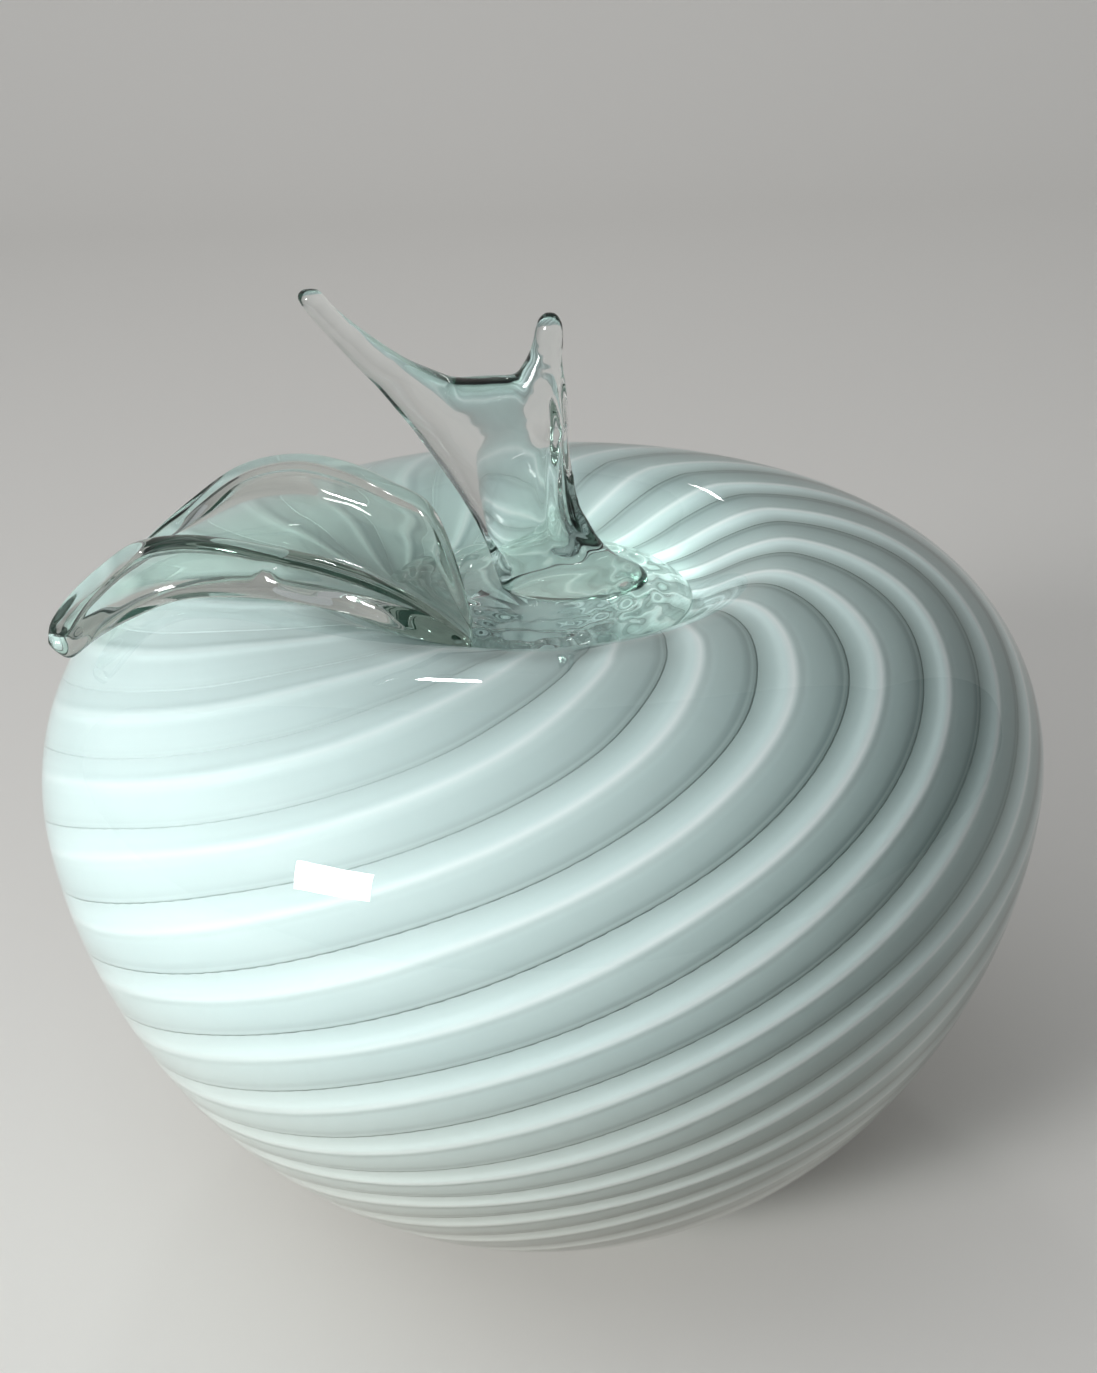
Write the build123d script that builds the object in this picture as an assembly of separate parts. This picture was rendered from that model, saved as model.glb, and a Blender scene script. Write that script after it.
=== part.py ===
from build123d import *
import math
import os

# A hand-blown glass apple: a hollow cased body with twisted opal bands, a sealed dimple,
# a stem pulled into two horns and a leaf laid on the shoulder.
# Millimetres, +Z up, origin at the middle of the ground base. The photograph looks along +Y.

# Outer form of the body
body_diameter = 150.0
widest_height = 70.8
upper_body_height = 31.9
base_diameter = 44.0
crest_diameter = 76.0
dimple_depth = 15.0
blow_hole_diameter = 20.0
lower_width_power_share = 1.12
lower_height_power_share = 1.12
upper_width_power_share = 0.84
upper_height_power_share = 1.0

# Glass layers, from the outside in, with the space that the bands lie in
casing_wall = 3.2
band_space = 2.4
underlay_wall = 0.9
lining_wall = 3.0

# Twisted bands: the turns are degrees at even steps along the profile, from the base edge up
band_count = 18
band_height = 1.2
band_clearance = 0.5
band_width_share = 0.9
band_crest_share = -0.12
band_start_share = 0.04
band_end_share = 0.87
band_stations = 22
band_turns = [-270, -222, -165, -109, -57, -17, 20, 53, 71, 73, 73, 73]
band_phase = -81

# Seal in the dimple
seal_diameter = 47.0
seal_sink = 5.7
seal_drip = 2.5
seal_rim_radius = 1.2
seal_ripple_diameter = 2.0
seal_ripple_ring_diameter = 37.0

# Stem: heights are above the seal, and reaches run to the left for the long horn
foot_diameter = 26.0
foot_height = 4.0
foot_reach = 3.5
foot_rim_share = 0.45
long_horn_reach = 29.3
long_horn_height = 43.6
short_horn_reach = 3.1
short_horn_height = 38.6
arm_width = 18.0
arm_depth = 14.0
# Sections of each horn: reach, height, width and depth shares, with the lean in degrees
long_horn_shares = [
    (-0.07, 0.04, 1.05, 1.2, 0),
    (0.05, 0.2, 0.89, 1.0, 8),
    (0.16, 0.39, 1.03, 0.93, 22),
    (0.34, 0.56, 0.94, 0.86, 38),
    (0.61, 0.72, 0.51, 0.61, 48),
    (0.85, 0.89, 0.3, 0.37, 45),
    (1.02, 1.015, 0.17, 0.22, 45),
]
short_horn_shares = [
    (-0.97, 0.04, 0.89, 1.14, 0),
    (-0.26, 0.34, 0.53, 0.86, 0),
    (-0.1, 0.6, 0.56, 0.79, 0),
    (-0.52, 0.8, 0.37, 0.5, -8),
    (-1.0, 1.0, 0.19, 0.25, -8),
]

# Leaf: it is folded along its crease; the near lobe lies on the shoulder, the far wing stands up
leaf_start_distance = 8.5
leaf_reach = 57.5
leaf_width = 50.0
leaf_height = 9.0
leaf_thickness = 3.2
# Stations from the root to the tip: the reach share, then for the near edge, the near lobe, the
# crease, the far wing and the far edge the shares sideways and up from the body without its dimple
leaf_shares = [
    (0.0, (-0.51, -0.484, -0.448, -0.404, -0.348), (-0.54, -0.43, -0.46, -0.39, -0.3)),
    (0.096, (-0.52, -0.446, -0.36, -0.15, 0.07), (-0.2, 0.08, 0.04, 0.34, 0.61)),
    (0.217, (-0.516, -0.39, -0.28, -0.03, 0.26), (0.02, 0.34, 0.2, 0.5, 0.81)),
    (0.357, (-0.43, -0.3, -0.18, 0.09, 0.41), (0.1, 0.5, 0.31, 0.59, 0.92)),
    (0.496, (-0.356, -0.216, -0.088, 0.19, 0.48), (0.12, 0.56, 0.34, 0.61, 0.95)),
    (0.635, (-0.288, -0.116, 0.008, 0.21, 0.41), (0.12, 0.56, 0.36, 0.6, 0.99)),
    (0.757, (-0.224, -0.056, 0.044, 0.148, 0.25), (0.12, 0.6, 0.42, 0.56, 0.77)),
    (0.861, (-0.25, -0.07, 0.008, 0.06, 0.104), (0.12, 0.6, 0.56, 0.53, 0.48)),
    (0.939, (-0.27, -0.13, -0.07, -0.02, 0.02), (0.12, 0.56, 0.54, 0.48, 0.36)),
    (1.0, (-0.28, -0.216, -0.18, -0.144, -0.11), (0.12, 0.36, 0.4, 0.38, 0.26)),
]
leaf_edge_share = 0.9

body_radius = body_diameter / 2
shoulder_height = widest_height + upper_body_height
base_radius = base_diameter / 2
crest_radius = crest_diameter / 2
hole_radius = blow_hole_diameter / 2
seal_radius = seal_diameter / 2
seal_top_height = shoulder_height - seal_sink
underlay_inset = casing_wall + band_space
lining_inset = underlay_inset + underlay_wall
hollow_inset = lining_inset + lining_wall


def lower_point(share, inset):
    """Point of the lower body, from the base edge (0) to the widest ring (1)."""
    angle = share * math.pi / 2
    across = math.sin(angle) ** lower_width_power_share
    rise = 1 - math.cos(angle) ** lower_height_power_share
    radius = base_radius + (body_radius - inset - base_radius) * across
    return radius, inset + (widest_height - inset) * rise


def upper_point(share, inset):
    """Point of the upper body, from the widest ring (0) to the crest (1)."""
    angle = share * math.pi / 2
    across = math.cos(angle) ** upper_width_power_share
    rise = math.sin(angle) ** upper_height_power_share
    radius = crest_radius + (body_radius - inset - crest_radius) * across
    return radius, widest_height + (shoulder_height - inset - widest_height) * rise


def dimple_point(share, inset):
    """Point of the dimple, from the crest (0) down to the blow hole (1), inset square to the slope."""
    width = crest_radius - hole_radius
    drop = dimple_depth * (1 - math.cos(share * math.pi)) / 2
    slope = math.atan(dimple_depth * math.pi * math.sin(share * math.pi) / (2 * width))
    radius = crest_radius - width * share + inset * math.sin(slope)
    return radius, shoulder_height - drop - inset * math.cos(slope)


def body_points(inset, lower_steps=6, upper_steps=6, dimple_steps=6):
    """Points of a layer's outer face, from the base edge to the blow hole."""
    points = [lower_point(i / lower_steps, inset) for i in range(lower_steps)]
    points += [upper_point(i / upper_steps, inset) for i in range(upper_steps)]
    points += [dimple_point(i / dimple_steps, inset) for i in range(dimple_steps + 1)]
    return points


def body_curve(inset):
    """Smooth half profile of a layer's outer face, in the XZ plane."""
    points = [(radius, 0, height) for radius, height in body_points(inset)]
    return Spline(*points, tangents=[(1, 0, 0), (-1, 0, 0)])


def layer(outer_inset, inner_inset):
    """Solid glass between two insets from the outer face, open at the blow hole."""
    outer = body_curve(outer_inset)
    inner = body_curve(inner_inset)
    wire = Wire([
        Line((0, 0, outer_inset), outer @ 0),
        outer.edge(),
        Line(outer @ 1, inner @ 1),
        inner.edge(),
        Line(inner @ 0, (0, 0, inner_inset)),
        Line((0, 0, inner_inset), (0, 0, outer_inset)),
    ])
    return revolve(Face(wire), axis=Axis.Z)


def band_turn(share):
    """Turn of a band in degrees at a share of the profile, by a smooth curve through band_turns."""
    place = share * (len(band_turns) - 1)
    step = min(int(place), len(band_turns) - 2)
    part = place - step
    near, far = band_turns[step], band_turns[step + 1]
    before = band_turns[max(step - 1, 0)]
    after = band_turns[min(step + 2, len(band_turns) - 1)]
    bend = 2 * near - 2 * far + (far - before) / 2 + (after - near) / 2
    swell = 3 * far - 3 * near - (far - before) - (after - near) / 2
    return near + part * ((far - before) / 2 + part * (swell + part * bend))


def band_section(curve, share):
    """Flat-backed lens across a band, square to its path and just clear of the underlay."""
    step = 1 / (2 * band_stations)
    angle = math.radians(band_turn(share) + band_phase)
    turning = math.radians(band_turn(share + step) - band_turn(share - step))
    spot, slope = curve @ share, curve % share
    travel = 2 * step * curve.length
    sideways = spot.X * turning / travel
    outward = Vector(math.cos(angle), math.sin(angle), 0)
    around = Vector(-math.sin(angle), math.cos(angle), 0)
    along = outward * slope.X + Vector(0, 0, slope.Z)
    normal = outward * slope.Z - Vector(0, 0, slope.X)
    across = normal.cross(along + around * sideways).normalized()
    lean_cosine = 1 / math.sqrt(1 + sideways ** 2)
    half = math.pi * spot.X / band_count * lean_cosine * band_width_share
    bend_along = (curve % (share - step)).get_angle(curve % (share + step))
    curvature = math.radians(bend_along) / travel * (1 - lean_cosine ** 2)
    curvature += abs(slope.Z) / spot.X * lean_cosine ** 2
    root_rise = band_clearance + curvature * half ** 2 / 2
    centre = outward * spot.X + Vector(0, 0, spot.Z)
    root = centre + normal * root_rise
    crest = root + normal * band_height + across * (half * band_crest_share)
    left, right = root - across * half, root + across * half
    return Face(Wire([ThreePointArc(left, crest, right), Line(right, left)]))


def swirl_bands():
    """All twisted bands of opal glass: one loft, copied round the axis."""
    curve = body_curve(underlay_inset).edge()
    span = band_end_share - band_start_share
    shares = [band_start_share + span * i / (band_stations - 1) for i in range(band_stations)]
    band = loft([band_section(curve, share) for share in shares])
    return [band.rotate(Axis.Z, 360 * i / band_count) for i in range(band_count)]


def whole_body():
    """The body as if it were filled with glass, to trim what lies on it."""
    outer = body_curve(0)
    rim_height = (outer @ 1).Z
    wire = Wire([
        Line((0, 0, 0), outer @ 0),
        outer.edge(),
        Line(outer @ 1, (0, 0, rim_height)),
        Line((0, 0, rim_height), (0, 0, 0)),
    ])
    return revolve(Face(wire), axis=Axis.Z)


def seal():
    """Clear glass run into the dimple: a plug in the blow hole, a pool and a ripple round the stem."""
    floor = dimple_point(1, hollow_inset)[1] - seal_drip
    upright = (Align.CENTER, Align.CENTER, Align.MIN)
    plug = Pos(0, 0, floor) * Cylinder(hole_radius, seal_top_height - floor, align=upright)
    plug = fillet(plug.edges().sort_by(Axis.Z)[0], seal_rim_radius)
    pool_floor = dimple_point(1, 0)[1]
    pool = Pos(0, 0, pool_floor) * Cylinder(seal_radius, seal_top_height - pool_floor, align=upright)
    pool = fillet(pool.edges().sort_by(Axis.Z)[-1], seal_rim_radius)
    ripple = Pos(0, 0, seal_top_height) * Torus(seal_ripple_ring_diameter / 2, seal_ripple_diameter / 2)
    return (pool + ripple - whole_body()) + plug


def arm_section(reach, rise, half_width, half_depth, lean):
    """Oval section of the stem; its plane leans to the left by a number of degrees."""
    turn = math.radians(lean)
    flat = (math.cos(turn), 0, math.sin(turn))
    ahead = (-math.sin(turn), 0, math.cos(turn))
    plane = Plane(origin=(-reach, 0, seal_top_height + rise), x_dir=flat, z_dir=ahead)
    return plane * Ellipse(half_width, half_depth)


def horn(section_shares, reach, height):
    """One arm of the stem, from inside the foot to its rounded tip."""
    sections = [
        arm_section(across * reach, up * height, wide * arm_width / 2, deep * arm_depth / 2, lean)
        for across, up, wide, deep, lean in section_shares
    ]
    return loft(sections)


def stem():
    """One clear bit: a spread foot and two horns that part above it."""
    upright = (Align.CENTER, Align.CENTER, Align.MIN)
    foot = Pos(foot_reach, 0, seal_top_height) * Cylinder(foot_diameter / 2, foot_height, align=upright)
    foot = fillet(foot.edges(), foot_height * foot_rim_share)
    long_horn = horn(long_horn_shares, long_horn_reach, long_horn_height)
    short_horn = horn(short_horn_shares, short_horn_reach, short_horn_height)
    return foot + long_horn + short_horn


def shoulder_rise(x, y):
    """Height of the body's upper face over a point, as if the dimple were filled to the crest."""
    across = (math.hypot(x, y) - crest_radius) / (body_radius - crest_radius)
    across = min(max(across, 0), 1)
    rise = (1 - across ** (2 / upper_width_power_share)) ** (upper_height_power_share / 2)
    return widest_height + (shoulder_height - widest_height) * rise


def leaf_section(station):
    """Folded section of the leaf, upright and square to its length, with its near edge let into the body."""
    reach_share, sideways_shares, up_shares = station
    x = -leaf_start_distance - reach_share * leaf_reach
    above = []
    for sideways, up in zip(sideways_shares, up_shares):
        y = sideways * leaf_width
        above.append(Vector(x, y, shoulder_rise(x, y) + up * leaf_height))
    depth_shares = [leaf_edge_share, 1, 1, 1, leaf_edge_share]
    below = [spot - Vector(0, 0, leaf_thickness * depth) for spot, depth in zip(above, depth_shares)]
    return Face(Wire([
        Spline(*below),
        Line(below[-1], above[-1]),
        Spline(*reversed(above)),
        Line(above[0], below[0]),
    ]))


def leaf():
    """Thick clear leaf on the left shoulder, from the seal to its drooping tip."""
    blade = loft([leaf_section(station) for station in leaf_shares], ruled=True)
    return blade - whole_body() - seal() - stem()


def write(name, shape):
    """Save one node as a STEP file in the parts folder."""
    export_step(shape, f"parts/{name}.step")


os.makedirs("parts", exist_ok=True)
write("clear_outer_casing", layer(0, casing_wall))
write("opal_swirl_bands", Compound(children=swirl_bands()))
write("milky_underlay", layer(underlay_inset, lining_inset))
write("clear_inner_bubble", layer(lining_inset, hollow_inset))
write("dimple_seal", seal())
write("clear_stem", stem())
write("clear_leaf", leaf())
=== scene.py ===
"""Art glass apple: a clear casing over twisted opal bands, a two-horned stem and a leaf."""

import math

import bmesh
import bpy
import numpy as np
from bpy.props import FloatProperty, FloatVectorProperty, IntProperty, PointerProperty
from mathutils import Matrix, Vector


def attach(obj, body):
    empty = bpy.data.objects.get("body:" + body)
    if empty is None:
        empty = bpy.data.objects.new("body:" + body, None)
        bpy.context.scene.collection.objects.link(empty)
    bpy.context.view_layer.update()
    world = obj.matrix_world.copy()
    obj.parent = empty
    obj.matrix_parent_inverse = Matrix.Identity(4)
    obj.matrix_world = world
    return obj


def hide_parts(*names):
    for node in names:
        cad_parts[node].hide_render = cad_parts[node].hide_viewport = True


bl_info = {
    "name": "Art glass apple",
    "version": (1, 0, 0),
    "blender": (4, 5, 0),
    "location": "3D View > Sidebar > Apple",
    "description": "Builds a hand-blown glass apple with twisted opal bands, a stem and a leaf",
    "category": "Add Mesh",
}

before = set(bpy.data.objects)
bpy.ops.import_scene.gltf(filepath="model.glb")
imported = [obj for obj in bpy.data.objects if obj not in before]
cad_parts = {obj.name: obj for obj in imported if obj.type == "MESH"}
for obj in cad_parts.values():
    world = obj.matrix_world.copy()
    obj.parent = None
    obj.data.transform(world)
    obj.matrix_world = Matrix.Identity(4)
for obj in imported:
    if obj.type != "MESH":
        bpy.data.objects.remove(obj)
bpy.context.view_layer.update()
MM = 0.001
BODY = "root"


# ---------------------------------------------------------------- node trees

class Value:
    """One output socket in a tree, with plain arithmetic on it."""

    def __init__(self, board, socket):
        self.board = board
        self.socket = socket

    def out(self, name):
        """Another output of the same node."""
        return Value(self.board, self.socket.node.outputs[name])

    def __add__(self, other):
        return self.board.maths("ADD", self, other)

    def __radd__(self, other):
        return self.board.maths("ADD", other, self)

    def __sub__(self, other):
        return self.board.maths("SUBTRACT", self, other)

    def __rsub__(self, other):
        return self.board.maths("SUBTRACT", other, self)

    def __mul__(self, other):
        return self.board.maths("MULTIPLY", self, other)

    def __rmul__(self, other):
        return self.board.maths("MULTIPLY", other, self)

    def __truediv__(self, other):
        return self.board.maths("DIVIDE", self, other)

    def __rtruediv__(self, other):
        return self.board.maths("DIVIDE", other, self)


class Board:
    """A node tree that grows one node at a time."""

    def __init__(self, tree):
        self.tree = tree
        tree.nodes.clear()

    def add(self, kind, settings=None, sockets=None, out=0):
        """Makes a node, sets it up first and then fills its sockets with values or links."""
        node = self.tree.nodes.new(kind)
        for name, value in (settings or {}).items():
            if name == "stops":
                self.fill_ramp(node.color_ramp, value)
            elif name == "curve":
                self.fill_curve(node.mapping, value)
            else:
                setattr(node, name, value)
        for name, value in (sockets or {}).items():
            if isinstance(value, Value):
                self.tree.links.new(value.socket, node.inputs[name])
            else:
                node.inputs[name].default_value = value
        return Value(self, node.outputs[out]) if len(node.outputs) else None

    @staticmethod
    def fill_ramp(ramp, stops):
        while len(ramp.elements) < len(stops):
            ramp.elements.new(0.5)
        for element, (place, colour) in zip(ramp.elements, stops):
            element.position = place
            element.color = opaque(colour)

    @staticmethod
    def fill_curve(mapping, points):
        line = mapping.curves[0].points
        while len(line) < len(points):
            line.new(0.5, 0.5)
        for point, (x, y) in zip(line, points):
            point.location = (x, y)
            point.handle_type = "AUTO_CLAMPED"
        mapping.update()

    def maths(self, operation, first, second=0.0):
        return self.add("ShaderNodeMath", {"operation": operation}, {0: first, 1: second})

    def vector(self, x, y, z):
        return self.add("ShaderNodeCombineXYZ", None, {0: x, 1: y, 2: z})

    def axes(self, vector):
        """The X of a vector; Y and Z are the node's other outputs."""
        return self.add("ShaderNodeSeparateXYZ", None, {0: vector})

    def noise(self, place, scale, detail):
        return self.add("ShaderNodeTexNoise", None,
                        {"Vector": place, "Scale": scale, "Detail": detail})

    def slope(self, value, span, ends):
        """A straight line from one end to the other over a span of the value, flat outside it."""
        return self.add("ShaderNodeMapRange", None,
                        {0: value, 1: span[0], 2: span[1], 3: ends[0], 4: ends[1]})

    def mix(self, share, first, second):
        """Colour between two, by a share from 0 to 1."""
        return self.add("ShaderNodeMix", {"data_type": "RGBA"}, {0: share, 6: first, 7: second}, 2)


def rgb(hexa):
    """Linear colour of a written sRGB one."""
    parts = [int(hexa[i:i + 2], 16) / 255 for i in (0, 2, 4)]
    return tuple(p / 12.92 if p <= 0.04045 else ((p + 0.055) / 1.055) ** 2.4 for p in parts)


def opaque(colour):
    return (*colour[:3], 1.0)


# ---------------------------------------------------------------- body form, in millimetres

BODY_RADIUS = 75.0
BASE_RADIUS = 22.0
CREST_RADIUS = 38.0
HOLE_RADIUS = 10.0
WIDEST_HEIGHT = 70.8
SHOULDER_HEIGHT = 102.7
DIMPLE_DEPTH = 15.0
LOWER_POWERS = (1.12, 1.12)
UPPER_POWERS = (0.84, 1.0)
PROFILE_STEPS = 40


def lower_point(share, inset):
    angle = share * math.pi / 2
    across = math.sin(angle) ** LOWER_POWERS[0]
    rise = 1 - math.cos(angle) ** LOWER_POWERS[1]
    return (BASE_RADIUS + (BODY_RADIUS - inset - BASE_RADIUS) * across,
            inset + (WIDEST_HEIGHT - inset) * rise)


def upper_point(share, inset):
    angle = share * math.pi / 2
    across = math.cos(angle) ** UPPER_POWERS[0]
    rise = math.sin(angle) ** UPPER_POWERS[1]
    return (CREST_RADIUS + (BODY_RADIUS - inset - CREST_RADIUS) * across,
            WIDEST_HEIGHT + (SHOULDER_HEIGHT - inset - WIDEST_HEIGHT) * rise)


def dimple_point(share, inset):
    width = CREST_RADIUS - HOLE_RADIUS
    drop = DIMPLE_DEPTH * (1 - math.cos(share * math.pi)) / 2
    slope = math.atan(DIMPLE_DEPTH * math.pi * math.sin(share * math.pi) / (2 * width))
    return (CREST_RADIUS - width * share + inset * math.sin(slope),
            SHOULDER_HEIGHT - drop - inset * math.cos(slope))


def profile(inset, steps=PROFILE_STEPS):
    """Face of a layer, an inset below the surface, from the base edge to the blow hole."""
    points = [lower_point(i / steps, inset) for i in range(steps)]
    points += [upper_point(i / steps, inset) for i in range(steps)]
    points += [dimple_point(i / steps, inset) for i in range(steps + 1)]
    return np.array(points)


def even_steps(points, count):
    """The same line at even steps of its length."""
    lengths = np.r_[0, np.cumsum(np.linalg.norm(np.diff(points, axis=0), axis=1))]
    places = np.linspace(0, lengths[-1], count)
    return np.stack([np.interp(places, lengths, points[:, k]) for k in range(points.shape[1])], 1)


def eased(count):
    """Shares from 0 to 1 that lie closer together towards both ends."""
    return (1 - np.cos(np.linspace(0, math.pi, count))) / 2


def fade(values, start, end):
    """0 before start, 1 past end and a straight line between them."""
    return np.clip((values - start) / (end - start), 0, 1)


def smooth_through(rows, shares):
    """Catmull-Rom curve through rows of numbers, at shares of them or at that many even steps."""
    rows = np.asarray(rows, float)
    last = len(rows) - 1
    shares = np.linspace(0, 1, shares) if isinstance(shares, int) else shares
    place = shares * last
    step = np.minimum(place.astype(int), last - 1)
    part = (place - step).reshape(-1, *[1] * (rows.ndim - 1))
    before, near = rows[np.maximum(step - 1, 0)], rows[step]
    far, after = rows[step + 1], rows[np.minimum(step + 2, last)]
    return near + part * ((far - before) / 2 + part * (
        3 * far - 3 * near - (far - before) - (after - near) / 2
        + part * (2 * near - 2 * far + (far - before) / 2 + (after - near) / 2)))


# ---------------------------------------------------------------- mesh helpers

MERGE_GAP = 0.001 * MM
ON_AXIS_RADIUS = 1e-6
RELAX_SHARE = 0.5


def mesh_object(name, vertices, faces, material=None):
    """A smooth mesh object from points in millimetres."""
    mesh = bpy.data.meshes.new(name)
    mesh.from_pydata([tuple(v) for v in np.asarray(vertices, float) * MM], [], faces)
    mesh.update()
    thing = bpy.data.objects.new(name, mesh)
    bpy.context.scene.collection.objects.link(thing)
    if material:
        mesh.materials.append(material)
    mesh.shade_smooth()
    return thing


def tidy_mesh(thing, gap=MERGE_GAP):
    """Merges doubles and turns faces outwards."""
    mesh = bmesh.new()
    mesh.from_mesh(thing.data)
    bmesh.ops.remove_doubles(mesh, verts=mesh.verts, dist=gap)
    bmesh.ops.recalc_face_normals(mesh, faces=mesh.faces)
    mesh.to_mesh(thing.data)
    mesh.free()
    thing.data.update()


def turned(name, loop, segments, material):
    """Solid turned round the axis from a closed loop of radius and height."""
    vertices, faces, rings = [], [], []
    for radius, height in loop:
        if radius < ON_AXIS_RADIUS:
            rings.append([len(vertices)] * segments)
            vertices.append((0, 0, height))
            continue
        rings.append(list(range(len(vertices), len(vertices) + segments)))
        for k in range(segments):
            turn = 2 * math.pi * k / segments
            vertices.append((radius * math.cos(turn), radius * math.sin(turn), height))
    for i, ring in enumerate(rings):
        after = rings[(i + 1) % len(rings)]
        for k in range(segments):
            k2 = (k + 1) % segments
            corners = list(dict.fromkeys([ring[k], ring[k2], after[k2], after[k]]))
            if len(corners) > 2:
                faces.append(corners)
    thing = mesh_object(name, vertices, faces, material)
    tidy_mesh(thing)
    return thing


def skin(name, loops, material=None):
    """Closed skin over loops of points, capped at both ends."""
    count = len(loops[0])
    faces = []
    for i in range(len(loops) - 1):
        here, there = i * count, (i + 1) * count
        for k in range(count):
            k2 = (k + 1) % count
            faces.append((here + k, here + k2, there + k2, there + k))
    faces.append(tuple(range(count)))
    faces.append(tuple(range((len(loops) - 1) * count, len(loops) * count)))
    thing = mesh_object(name, np.concatenate(loops), faces, material)
    tidy_mesh(thing)
    return thing


def apply_modifiers(thing):
    """Turns the evaluated shape into a plain mesh."""
    graph = bpy.context.evaluated_depsgraph_get()
    made = bpy.data.meshes.new_from_object(thing.evaluated_get(graph))
    old = thing.data
    thing.modifiers.clear()
    thing.data = made
    if old.users == 0:
        bpy.data.meshes.remove(old)
    thing.data.shade_smooth()


def relaxed(thing, rounds):
    """Smooths a mesh without a modifier left on it."""
    mesh = bmesh.new()
    mesh.from_mesh(thing.data)
    for _ in range(rounds):
        bmesh.ops.smooth_vert(mesh, verts=mesh.verts, factor=RELAX_SHARE,
                              use_axis_x=True, use_axis_y=True, use_axis_z=True)
    mesh.to_mesh(thing.data)
    mesh.free()


def joined(name, things):
    """Joins meshes into a new one."""
    mesh = bmesh.new()
    for thing in things:
        mesh.from_mesh(thing.data)
    made = bpy.data.meshes.new(name)
    mesh.to_mesh(made)
    mesh.free()
    for thing in things:
        old = thing.data
        bpy.data.objects.remove(thing)
        bpy.data.meshes.remove(old)
    whole = bpy.data.objects.new(name, made)
    bpy.context.scene.collection.objects.link(whole)
    return whole


def melted(thing, voxel, rounds):
    """Melts overlapping closed meshes into one smooth skin."""
    modifier = thing.modifiers.new("melt", "REMESH")
    modifier.mode = "VOXEL"
    modifier.voxel_size = voxel * MM
    apply_modifiers(thing)
    relaxed(thing, rounds)
    thing.data.shade_smooth()


def move_vertices(thing, places):
    """Puts a mesh's vertices at places in metres."""
    thing.data.vertices.foreach_set("co", places.astype(np.float32).ravel())
    thing.data.update()


def hand_over(thing, slot, *nodes):
    """Puts the finished piece on its body and hides the frame nodes it stands for; its finish slot
    is not used.
    """
    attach(thing, BODY)
    if nodes:
        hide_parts(*nodes)


# ---------------------------------------------------------------- materials

GLASS_IOR = 1.5
GLASS_WAVE_HEIGHT = 0.6 * MM
GLASS_WAVE_DETAIL = 2.0
DEEP_GREEN = (0.3, 0.42, 0.37)
TRAPPED_RAY_DEPTH = 8.5
TRAPPED_GLOSSY_DEPTH = 2.5

# Colours over a band's width, the opal's own density with painted light over it: a slow rise
# brightening towards the lamp, the bright crest line as a painted highlight, and the flat and two
# thin grooves darkened as painted shade
OPAL_LIT_SHADED_STOPS = [
    (0.0, "A0B1AF"), (0.14, "BDCFCE"), (0.3, "D6E7E7"), (0.38, "F4FBFB"), (0.45, "D0E0DF"),
    (0.57, "B8CAC9"), (0.82, "A9BBBA"), (0.905, "8FA1A0"), (0.935, "A3B4B2"), (0.96, "8D9F9D"),
    (1.0, "A0B1AF"),
]
STRIPE_WANDER = 0.05
OPAL_CLOUD = (28.0, 3.0)
OPAL_DRIFT = (11.0, 1.0)
DRIFT_RANGE, DRIFT_LEAST = 0.7, 0.62
# Painted light: towards the left, where the key lamp falls, the stripes wash out to the plain opal
# colour
LEFT_WASH_SPAN, LEFT_WASH_SHARE = (0.035, -0.045), 0.8
# Painted reflection: the lower body tinted beige, standing in for a wooden table reflected in it
TABLE_REFLECTION_COLOUR, TABLE_REFLECTION_SPAN, TABLE_REFLECTION_SHARE = "CFC2B3", (0.066, 0.012), 0.62
SPECK_COLOUR, SPECK_SHARE = "4F5650", 0.7
SPECK_SCALE, SPECK_SIZE = 45.0, 0.02
CENTRE_COLOUR, CENTRE_SHARE = "C5DAD9", 0.9
OPAL_CENTRE_SPAN = (0.016, 0.009)
UNDERLAY_CLOUD, UNDERLAY_CLOUD_COLOUR = (22.0, 4.0), "B2C4C2"
UNDERLAY_CENTRE_SPAN = (0.0125, 0.0105)


def new_material(name):
    material = bpy.data.materials.new(name)
    material.use_nodes = True
    return material, Board(material.node_tree)


def clear_glass(name, tint, waves=None):
    """Clear glass that lamps shine through, deep green where light is caught in it.

    The waves are the strength and the scale of a bump.
    """
    material, board = new_material(name)
    sockets = {"Base Color": opaque(tint), "Roughness": 0.0, "IOR": GLASS_IOR,
               "Transmission Weight": 1.0}
    if waves:
        strength, scale = waves
        place = board.add("ShaderNodeTexCoord").out("Object")
        sockets["Normal"] = board.add("ShaderNodeBump", None, {
            "Strength": strength, "Distance": GLASS_WAVE_HEIGHT,
            "Height": board.noise(place, scale, GLASS_WAVE_DETAIL)})
    glass = board.add("ShaderNodeBsdfPrincipled", None, sockets)
    passing = board.add("ShaderNodeBsdfTransparent", None, {"Color": opaque(tint)})
    deep = board.add("ShaderNodeBsdfTransparent", None, {"Color": opaque(DEEP_GREEN)})
    path = board.add("ShaderNodeLightPath")
    trapped = board.maths(
        "MAXIMUM", board.maths("GREATER_THAN", path.out("Ray Depth"), TRAPPED_RAY_DEPTH),
        board.maths("GREATER_THAN", path.out("Glossy Depth"), TRAPPED_GLOSSY_DEPTH))
    mixed = board.add("ShaderNodeMixShader", None, {0: trapped, 1: glass, 2: deep})
    mixed = board.add("ShaderNodeMixShader", None,
                      {0: path.out("Is Shadow Ray"), 1: mixed, 2: passing})
    board.add("ShaderNodeOutputMaterial", None, {"Surface": mixed})
    return material


def milky_centre(board, colour, spot, span):
    """Fades a colour to the plain milk round the closed blow hole, over a span of radius."""
    radius = board.maths("SQRT", spot.out("X") * spot.out("X") + spot.out("Y") * spot.out("Y"))
    share = board.slope(radius, span, (0.0, CENTRE_SHARE))
    return board.mix(share, colour, opaque(rgb(CENTRE_COLOUR)))


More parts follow.
